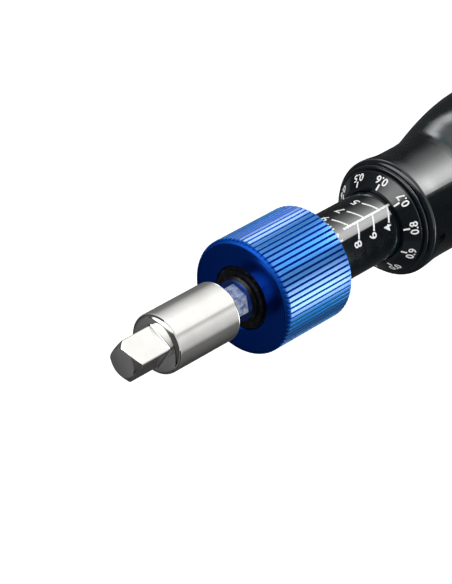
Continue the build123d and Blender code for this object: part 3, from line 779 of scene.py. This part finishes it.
def ceiling_glow(tree, coords):
    """A dark ceiling with one soft strip of light in front, which the thimble's bevel mirrors.

    A stop is a place along Y and its brightness. Behind the tool the ceiling is dark all over.
    """
    peak = 4.5
    strip = ((-ceiling_half, .05), (-0.4, .08), (0.02, .1), (0.09, .25), (0.15, 1.3), (0.24, 3.6),
             (0.31, 4.4), (0.47, 4.5), (0.64, 3.2), (0.82, 1.5), (1.02, .7), (1.16, .25), (ceiling_half, .05))
    place = add(tree, "ShaderNodeSeparateXYZ", {"Vector": coords}).outputs
    share = add(tree, "ShaderNodeMapRange", {
        "Value": place["Y"], "From Min": -ceiling_half, "From Max": ceiling_half}).outputs[0]
    tone = add(tree, "ShaderNodeValToRGB", {"Fac": share}, stops=[
        ((y + ceiling_half) / (2 * ceiling_half), value / peak) for y, value in strip]).outputs["Color"]
    front = add(tree, "ShaderNodeMapRange", {
        "Value": place["X"], "From Min": -0.25, "From Max": -0.1, "To Min": 0.02, "To Max": 1.0}).outputs[0]
    shown = add(tree, "ShaderNodeMath", {0: front, 1: peak}, operation="MULTIPLY").outputs[0]
    return add(tree, "ShaderNodeEmission", {"Color": tone, "Strength": shown}).outputs[0]


def velvet_glow(tree, coords):
    """Black velvet, with stray light on it that grows towards its top."""
    height = add(tree, "ShaderNodeSeparateXYZ", {"Vector": coords}).outputs["Z"]
    stray = add(tree, "ShaderNodeMapRange", {
        "Value": height, "From Min": 0.25, "From Max": 0.45, "To Min": 0.06, "To Max": 0.19}).outputs[0]
    return add(tree, "ShaderNodeEmission", {"Color": (1.0, 1.0, 1.04, 1), "Strength": stray}).outputs[0]


def black_screen():
    """A black screen that stands round the back and the sides of the tool, open towards the camera."""
    radius = 0.9
    deselect()
    bpy.ops.mesh.primitive_cylinder_add(
        vertices=72, radius=radius, depth=ceiling_z, location=(0, 0, ceiling_z / 2), end_fill_type="NOTHING")
    screen = bpy.context.object
    bpy.ops.object.transform_apply()
    pick(screen, "FACE", lambda x, y, z: x > radius / 2)
    bpy.ops.mesh.delete(type="FACE")
    done()
    glowing(screen, "black_screen", velvet_glow)


def seen_as_white(tree):
    """1 where the background should look white: for the camera and in metal and glass."""
    path = add(tree, "ShaderNodeLightPath").outputs
    seen = add(tree, "ShaderNodeMath", {
        0: path["Is Camera Ray"], 1: path["Is Glossy Ray"]}, operation="MAXIMUM")
    return add(tree, "ShaderNodeMath", {
        0: seen.outputs[0], 1: path["Is Transmission Ray"]}, operation="MAXIMUM").outputs[0]


def white_floor():
    """Pale paper, lifted to white for the camera, which still takes the tool's shadow."""
    deselect()
    bpy.ops.mesh.primitive_plane_add(size=6)
    floor = bpy.context.object
    floor.name = "floor"
    material, tree, coords = new_material("white_paper_floor")
    grain = add(tree, "ShaderNodeTexNoise", {"Vector": coords, "Scale": 1 / (2.5 * MM), "Detail": 3.0})
    relief = add(tree, "ShaderNodeBump", {
        "Height": grain.outputs["Fac"], "Strength": 0.1, "Distance": 0.05 * MM})
    paper = add(tree, "ShaderNodeBsdfDiffuse", {
        "Color": linear("e6e6e4"), "Normal": relief.outputs["Normal"]})
    lift = add(tree, "ShaderNodeMath", {0: seen_as_white(tree), 1: 0.42}, operation="MULTIPLY")
    glow = add(tree, "ShaderNodeEmission", {"Color": (1, 1, 1, 1), "Strength": lift.outputs[0]})
    both = add(tree, "ShaderNodeAddShader", {0: paper.outputs[0], 1: glow.outputs[0]})
    add(tree, "ShaderNodeOutputMaterial", {"Surface": both.outputs[0]})
    paint(floor, material)


def room():
    """Soft light from all round, which the camera and the metals see as plain white."""
    world = bpy.data.worlds.new("studio")
    bpy.context.scene.world = world
    world.use_nodes = True
    tree = world.node_tree
    tree.nodes.clear()
    strength = add(tree, "ShaderNodeMapRange", {"Value": seen_as_white(tree), "To Min": 0.55, "To Max": 1.0})
    sky = add(tree, "ShaderNodeBackground", {"Color": (1, 1, 1, 1), "Strength": strength.outputs[0]})
    add(tree, "ShaderNodeOutputWorld", {"Surface": sky.outputs[0]})


def softbox(name, place, size, power):
    """A square of soft light, turned to the tool, that the shiny pieces don't mirror."""
    aim = Vector((0, 0, 0.1))
    deselect()
    bpy.ops.object.light_add(type="AREA", location=place)
    lamp = bpy.context.object
    lamp.name = name
    lamp.data.shape = "SQUARE"
    lamp.data.size = size
    lamp.data.energy = power
    lamp.rotation_euler = (aim - Vector(place)).to_track_quat("-Z", "Y").to_euler()
    lamp.visible_camera = False
    lamp.visible_glossy = False


def photo_camera():
    """The camera at the photograph's angle, as the ellipses of the collar, dial and barrel give it."""
    deselect()
    bpy.ops.object.camera_add(
        location=(0.41587, 0, 0.493206),
        rotation=(math.radians(-29.517067), math.radians(41.939028), math.radians(-40.605362)))
    camera = bpy.context.object
    camera.name = "photo_camera"
    camera.data.lens = 170.147
    camera.data.sensor_width = 36
    camera.data.clip_start = 0.01
    camera.data.clip_end = 20
    bpy.context.scene.camera = camera


card("floor_card", ring_glow, size=(1.8, 1.8), place=(0, 0, floor_card_z))
card("ceiling_card", ceiling_glow, size=(2 * ceiling_half, 2 * ceiling_half), place=(0, 0, ceiling_z))
card("black_board", velvet_glow, size=(0.52, 0.8), place=(-0.30, 0, 0.36), turn=(0, math.radians(90), 0))
black_screen()
white_floor()
room()
softbox("key_softbox", place=(-0.10, 0.30, 0.65), size=0.4, power=2.2)
softbox("fill_softbox", place=(0.60, -0.10, 0.35), size=0.5, power=2.0)
photo_camera()
bpy.context.scene.view_settings.view_transform = "Standard"
